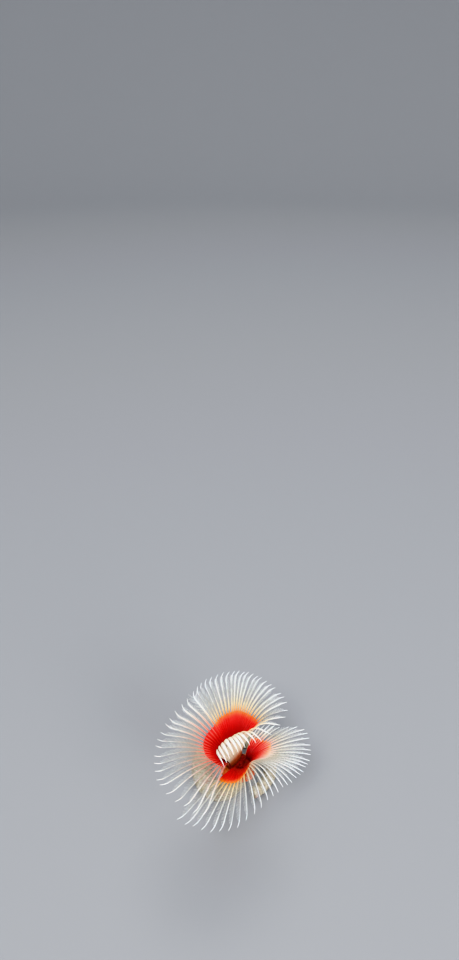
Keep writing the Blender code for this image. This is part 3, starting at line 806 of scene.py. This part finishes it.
def add_collar(shell):
    """The collar: a thin frilled membrane turned back over the tube's mouth."""
    profile = list(enumerate(COLLAR_PROFILE))
    upper = [(reach, height + COLLAR_LIFT - 0.05 * place) for place, (reach, height) in profile]
    lower = [(reach - 0.03 * place, height - COLLAR_DROP) for place, (reach, height) in profile]
    wave_size, waves = COLLAR_WAVES
    ripple_size, ripples, ripple_start = COLLAR_RIPPLES
    frill_size, frills = COLLAR_FRILL
    rings = []
    for reach, height in upper + lower[::-1]:
        ring = []
        for side in range(COLLAR_SIDES):
            angle = 360.0 * side / COLLAR_SIDES
            edge = max((reach - COLLAR_FLARE[0]) / COLLAR_FLARE[1], 0.0) ** 2
            wave = (1.0 + wave_size * cosine(waves * angle)
                    + ripple_size * edge * cosine(ripples * angle + ripple_start))
            frill = frill_size * edge * cosine(frills * angle)
            ring.append(station(reach * wave * COLLAR_FIT, angle, height + frill))
        rings.append(ring)
    rings.append(rings[0])
    shell.loft(rings, COLLAR_AREA, slot=1, capped=False)


def add_lips(shell):
    """The mouth's rim: a small puckered ring in the cup."""
    place = BELLY * MOUTH_PLACE[0] + LEFT * MOUTH_PLACE[1]
    low, high = LIP_HEIGHTS
    rings = []
    for step in range(LIP_STEPS + 1):
        around = 2.0 * math.pi * step / LIP_STEPS
        ring = []
        for side in range(LIP_SIDES):
            angle = 360.0 * side / LIP_SIDES
            thick = LIP_THICKNESS * (1.0 + LIP_PUCKERS[0] * cosine(LIP_PUCKERS[1] * angle))
            reach = LIP_REACH - thick * math.cos(around)
            ring.append(place + station(reach, angle, low + high * math.sin(around)))
        rings.append(ring)
    shell.loft(rings, LIPS_AREA, slot=2, capped=False)


def add_palps(shell):
    for ((ahead, aside), azimuth), area in zip(PALPS, PALP_AREAS):
        foot = BELLY * ahead + LEFT * aside - UP * PALP_SINK
        path = grow(foot, [polar(azimuth, tilt) for tilt in PALP_TILTS], PALP_LENGTH)
        rings = []
        for step in range(PALP_STEPS + 1):
            share = step / PALP_STEPS
            centre = path[int(round(share * PATH_STEPS))]
            rounding = math.sqrt(max(1.0 - share ** 8, 0.02))
            radius = PALP_RADIUS * (1.0 - PALP_TAPER * share) * rounding
            rings.append([centre + polar(360.0 * side / PALP_SIDES, 90.0) * radius
                          for side in range(PALP_SIDES)])
        shell.loft(rings, area, slot=2)


# Tube

def tube_line():
    """Points down the middle of the tube from its mouth to the tail, one per millimetre."""
    point = np.array((0.0, 0.0, -TUBE_MOUTH_DROP))
    azimuth = TUBE_START_AZIMUTH
    line = [point]
    for step in range(int(TUBE_LENGTH)):
        place = step + 0.5
        fall = along(place, TUBE_FALL)
        point = point + polar(azimuth, fall) * (1.0, 1.0, -1.0)
        line.append(point)
        azimuth -= math.degrees(1.0 / along(place, LOOP_RADIUS)) * sine(fall) ** 2
    line = np.array(line)
    places = np.arange(len(line))
    bed = BED * along(places, TUBE_RADIUS) - CROWN[2]
    share = ease((places - 0.3 * TUBE_LANDED) / (0.7 * TUBE_LANDED))
    line[:, 2] += (bed - line[-1, 2]) * share
    return line


TUBE_LINE = tube_line()


def line_point(place):
    return read_path(TUBE_LINE, place)


def line_ring(place, sides):
    """Centre and outward directions of a ring square to the tube's middle line."""
    centre = line_point(place)
    ahead = unit(line_point(min(place + 0.8, TUBE_LENGTH)) - line_point(max(place - 0.8, 0.0)))
    across = unit(np.cross(ahead, UP))
    lift = np.cross(across, ahead)
    angles = 2.0 * math.pi * (np.arange(sides) + 0.5) / sides
    ways = across * np.cos(angles)[:, None] + lift * np.sin(angles)[:, None]
    return centre, ways


def add_body(shell):
    """The worm's own length inside the tube, ringed by its segments."""
    start, end = BODY_ENDS
    rings = []
    for place in np.arange(start, end, BODY_STEP):
        bore = along(place, TUBE_RADIUS) - along(place, TUBE_WALL) - BODY_CLEARANCE
        ending = math.sqrt(max(1.0 - ((place - start) / (end - start)) ** 14, 0.05))
        pinch = 0.5 + 0.5 * math.cos(2.0 * math.pi * place / SEGMENT)
        swelling = 1.0 - SEGMENT_DEPTH * pinch
        centre, ways = line_ring(place, BODY_SIDES)
        rings.append(list(centre + ways * (bore * ending * swelling)))
    shell.loft(rings, BODY_AREA, slot=1)


def add_tube(finish):
    """The chalky tube: growth rings, a thick lip, knobbly sides and a flat underside."""
    shell = Shell()
    outer = []
    inner = []
    edges = []
    (wide_scale, wide_height), (fine_scale, fine_height) = TUBE_KNOBS
    for place in np.arange(0.0, TUBE_LENGTH + 0.01, TUBE_STEP):
        radius = along(place, TUBE_RADIUS)
        centre, ways = line_ring(place, TUBE_SIDES)
        step = place + 0.5 * noise.noise(Vector((place * 0.35, 2.0, 5.0)))
        edge = 1.0 - (step / GROWTH_STEP) % 1.0
        flange = max(math.sin(step / GROWTH_FLANGE), 0.0) ** 6
        ringing = GROWTH_HEIGHTS[0] * edge + GROWTH_HEIGHTS[1] * flange
        ring = []
        for way in ways:
            spot = centre + way * radius
            rough = (noise.noise(Vector(spot * wide_scale)) * wide_height
                     + noise.noise(Vector(spot * fine_scale)) * fine_height)
            rough = rough * min(place / 2.0, 1.0)
            ring.append(centre + way * (radius * TUBE_FIT[0] + TUBE_FIT[1] + ringing + rough))
        ring = np.array(ring)
        ring[:, 2] = np.maximum(ring[:, 2], -CROWN[2])
        outer.append(ring)
        edges.append(edge)
        inner.append(centre + ways * (radius - along(place, TUBE_WALL)))
    lip = [outer[0] * 0.75 + inner[0] * 0.25 + UP * 0.12,
           outer[0] * 0.35 + inner[0] * 0.65 + UP * 0.1]
    rings = inner[::-4] + lip[::-1] + outer + [0.5 * (outer[-1] + inner[-1])]
    rings = [list(ring) for ring in rings]
    rings.append(rings[0])
    growth = [0.5] * (len(rings) - len(edges) - 2) + edges + [0.5, 0.5]
    shell.loft(rings, TUBE_AREA, rises=growth, capped=False)
    return shell.finish("tube", [finish])


# Materials

def node(tree, kind, inputs=None, **settings):
    made = tree.nodes.new("ShaderNode" + kind)
    for key, value in settings.items():
        setattr(made, key, value)
    for key, value in (inputs or {}).items():
        if isinstance(value, bpy.types.NodeSocket):
            tree.links.new(value, made.inputs[key])
        else:
            made.inputs[key].default_value = value
    return made


def value_of(tree, name):
    return node(tree, "Attribute", attribute_name=name).outputs["Fac"]


def ramp(tree, factor, stops):
    made = node(tree, "ValToRGB", {"Fac": factor})
    elements = made.color_ramp.elements
    elements[0].position, elements[0].color = stops[0][0], (*stops[0][1], 1.0)
    elements[1].position, elements[1].color = stops[-1][0], (*stops[-1][1], 1.0)
    for place, colour in stops[1:-1]:
        elements.new(place).color = (*colour, 1.0)
    return made.outputs["Color"]


def grey_ramp(tree, factor, stops):
    return ramp(tree, factor, [(place, (value, value, value)) for place, value in stops])


def mix(tree, factor, first, second, mode="MIX"):
    made = node(tree, "Mix", data_type="RGBA", blend_type=mode)
    for socket, value in ((0, factor), (6, first), (7, second)):
        if isinstance(value, bpy.types.NodeSocket):
            tree.links.new(value, made.inputs[socket])
        elif socket == 0:
            made.inputs[socket].default_value = value
        else:
            made.inputs[socket].default_value = (*value, 1.0)
    return made.outputs[2]


def calc(tree, operation, first, second=0.0, third=0.0):
    return node(tree, "Math", {0: first, 1: second, 2: third}, operation=operation).outputs[0]


def object_noise(tree, scale, detail=3.0):
    """Noise with a scale in lumps per millimetre."""
    inputs = {"Vector": node(tree, "TexCoord").outputs["Object"], "Scale": scale / MM,
              "Detail": detail}
    return node(tree, "TexNoise", inputs).outputs["Fac"]


def multiply(tree, first, second):
    return mix(tree, 1.0, first, second, "MULTIPLY")


def add_bump(tree, shader, height, strength, distance):
    inputs = {"Height": height, "Strength": strength, "Distance": distance * MM}
    bump = node(tree, "Bump", inputs)
    tree.links.new(bump.outputs["Normal"], shader.inputs["Normal"])


def new_material(name):
    finish = bpy.data.materials.new(name)
    finish.use_nodes = True
    return finish, finish.node_tree, finish.node_tree.nodes["Principled BSDF"]


def wet_flesh(shader, depth):
    shader.inputs["Roughness"].default_value = 0.42
    shader.inputs["Subsurface Weight"].default_value = depth
    shader.inputs["Subsurface Radius"].default_value = (1.0, 0.42, 0.3)
    shader.inputs["Subsurface Scale"].default_value = 0.5 * MM
    shader.inputs["Specular IOR Level"].default_value = 0.2
    shader.inputs["Coat Weight"].default_value = 0.04
    shader.inputs["Coat Roughness"].default_value = 0.25


def crown_material():
    """Red inside the web with pinkish shafts, cream outside and white towards the tips."""
    finish, tree, shader = new_material("crown_flesh")
    height = calc(tree, "MULTIPLY", value_of(tree, "rise"), 0.5)
    mottle = object_noise(tree, 0.8)
    wavering = calc(tree, "MULTIPLY_ADD", mottle, 0.05, calc(tree, "SUBTRACT", height, 0.025))
    outside = ramp(tree, wavering, SHAFT_STOPS)
    web = ramp(tree, wavering, WEB_STOPS)
    ridge = ramp(tree, wavering, RIDGE_STOPS)
    on_ridge = grey_ramp(tree, value_of(tree, "ridge"), RIDGE_COVER)
    facing = grey_ramp(tree, value_of(tree, "inner"), INSIDE_COVER)
    colour = mix(tree, facing, outside, mix(tree, on_ridge, web, ridge))
    tone = grey_ramp(tree, value_of(tree, "tone"), CROWN_TONES)
    tree.links.new(multiply(tree, colour, tone), shader.inputs["Base Color"])
    add_bump(tree, shader, object_noise(tree, 6.0), 0.25, 0.05)
    wet_flesh(shader, 0.08)
    return finish


def branch_material():
    """The shafts' own colour, greyer along each branch and paler again at its end."""
    finish, tree, shader = new_material("branch_flesh")
    height = calc(tree, "MULTIPLY", value_of(tree, "rise"), 0.5)
    shade = grey_ramp(tree, value_of(tree, "down"), BRANCH_SHADES)
    colour = multiply(tree, ramp(tree, height, SHAFT_STOPS), shade)
    tone = grey_ramp(tree, value_of(tree, "tone"), BRANCH_TONES)
    tree.links.new(multiply(tree, colour, tone), shader.inputs["Base Color"])
    wet_flesh(shader, 0.1)
    return finish


def body_material():
    """Orange flesh, and dark red in the cup, where the foot's rise is 1; that darkness is partly
    painted shade.
    """
    finish, tree, shader = new_material("body_flesh")
    mottle = object_noise(tree, 0.9, 5.0)
    flesh = ramp(tree, mottle, BODY_STOPS)
    cup = ramp(tree, mottle, CUP_RED_AND_SHADE_STOPS)
    colour = mix(tree, value_of(tree, "rise"), flesh, cup)
    tree.links.new(colour, shader.inputs["Base Color"])
    add_bump(tree, shader, object_noise(tree, 5.0), 0.3, 0.06)
    wet_flesh(shader, 0.2)
    return finish


def lip_material():
    finish, tree, shader = new_material("lip_flesh")
    # Dark red lips and palps: their own red, darkened further as painted shade of the crown's deep
    # middle.
    colour = ramp(tree, object_noise(tree, 1.5), LIP_RED_AND_SHADE_STOPS)
    tree.links.new(colour, shader.inputs["Base Color"])
    wet_flesh(shader, 0.15)
    return finish


def tube_material():
    """Chalk with darker growth lines, a thin brown film and patches of pink crust."""
    finish, tree, shader = new_material("tube_chalk")
    colour = ramp(tree, object_noise(tree, 0.9, 8.0), CHALK_STOPS)
    film = grey_ramp(tree, object_noise(tree, 0.3, 9.0), FILM_COVER)
    colour = mix(tree, film, colour, FILM_COLOUR)
    crust = grey_ramp(tree, object_noise(tree, 0.16, 9.0), CRUST_COVER)
    colour = mix(tree, crust, colour, CRUST_COLOUR)
    groove = grey_ramp(tree, value_of(tree, "rise"), GROOVE_SHADES)
    tree.links.new(multiply(tree, colour, groove), shader.inputs["Base Color"])
    shader.inputs["Roughness"].default_value = 0.82
    add_bump(tree, shader, object_noise(tree, 3.0, 8.0), 0.6, 0.1)
    return finish


# Build

def build_animal():
    lobe_nodes = ["left_lobe_%d" % (fan + 1) for fan in range(LEFT_FANS)]
    lobe_nodes += ["right_lobe_%d" % (fan + 1) for fan in range(RIGHT_FANS)]
    body_nodes = ["crown_foot", "collar", "mouth", "palp_left", "palp_right", "thorax",
                  "abdomen_front", "abdomen_middle", "abdomen_rear", "pygidium"]
    shell = Shell()
    add_lobe_skin(shell, "left", 0)
    add_lobe_skin(shell, "right", LOBES["left"].count)
    add_foot(shell)
    add_collar(shell)
    add_lips(shell)
    add_palps(shell)
    add_body(shell)
    skin = shell.finish("skin", [crown_material(), body_material(), lip_material()])
    outward(skin)
    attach(skin, "root")
    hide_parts(*lobe_nodes, *body_nodes)

    branches = branch_material()
    for side_name in LOBES:
        piece = add_branches(side_name, branches)
        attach(piece, "root")

    tube = add_tube(tube_material())
    outward(tube)
    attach(tube, "root")
    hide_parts("tube_mouth", "tube_bend", "tube_loop_front", "tube_loop_back", "tube_tail")


def outward(item):
    """Joins the points that coincide and turns every closed surface's faces outwards."""
    mesh = bmesh.new()
    mesh.from_mesh(item.data)
    bmesh.ops.remove_doubles(mesh, verts=mesh.verts, dist=0.0005 * MM)
    bmesh.ops.recalc_face_normals(mesh, faces=mesh.faces)
    mesh.to_mesh(item.data)
    mesh.free()


# Stage, camera and light

def add_stage():
    """A pale round floor that curves up into a wall on every side."""
    sides = FLOOR_SIDES
    profile = [(FLOOR_RADIUS, 0.0)]
    profile += [(FLOOR_RADIUS + FLOOR_BEND * sine(angle), FLOOR_BEND * (1.0 - cosine(angle)))
                for angle in range(6, 91, 6)]
    profile.append((FLOOR_RADIUS + FLOOR_BEND, WALL_TOP))
    angles = [360.0 * side / sides for side in range(sides)]
    points = [(reach * cosine(angle), reach * sine(angle), height)
              for reach, height in profile for angle in angles]
    faces = [tuple(range(sides))]
    for row in range(len(profile) - 1):
        for side in range(sides):
            after = (side + 1) % sides
            faces.append((row * sides + after, row * sides + side, (row + 1) * sides + side,
                          (row + 1) * sides + after))
    data = bpy.data.meshes.new("floor")
    data.from_pydata(points, [], faces)
    data.shade_smooth()
    finish, _, shader = new_material("floor_paint")
    shader.inputs["Base Color"].default_value = FLOOR_COLOUR
    shader.inputs["Roughness"].default_value = 0.7
    data.materials.append(finish)
    add_object("floor", data)


def add_camera():
    """Looks down on the crown, which sits low in a tall frame."""
    right = (CROWN_PIXEL[0] - 0.5 * FRAME_WIDTH) / CAMERA_FOCAL * CAMERA_DISTANCE
    down = (CROWN_PIXEL[1] - 0.5 * FRAME_HEIGHT) / CAMERA_FOCAL * CAMERA_DISTANCE
    forward = np.array((0.0, cosine(CAMERA_PITCH), -sine(CAMERA_PITCH)))
    upward = np.array((0.0, sine(CAMERA_PITCH), cosine(CAMERA_PITCH)))
    place = CROWN - forward * CAMERA_DISTANCE + (upward * down - np.array((right, 0.0, 0.0)))
    data = bpy.data.cameras.new("camera")
    data.sensor_fit = "AUTO"
    data.sensor_width = SENSOR
    data.lens = CAMERA_FOCAL / FRAME_HEIGHT * SENSOR
    data.clip_start = 0.005
    camera = add_object("camera", data)
    camera.location = Vector(place) * MM
    camera.rotation_euler = (math.radians(90.0 - CAMERA_PITCH), 0.0, 0.0)
    bpy.context.scene.camera = camera


def add_light(name, place, size, power, colour):
    data = bpy.data.lights.new(name, "AREA")
    data.size = size
    data.energy = power
    data.color = colour
    lamp = add_object(name, data)
    lamp.location = place
    aim = Vector(LAMP_AIM) - Vector(place)
    lamp.rotation_euler = aim.to_track_quat("-Z", "Y").to_euler()


def add_lights():
    for lamp in LAMPS:
        add_light(*lamp)
    world = bpy.data.worlds.new("studio")
    world.use_nodes = True
    sky = world.node_tree.nodes["Background"]
    sky.inputs["Color"].default_value = SKY_COLOUR
    sky.inputs["Strength"].default_value = SKY_STRENGTH
    bpy.context.scene.world = world


bpy.context.scene.view_settings.view_transform = "Khronos PBR Neutral"
build_animal()
add_stage()
add_camera()
add_lights()
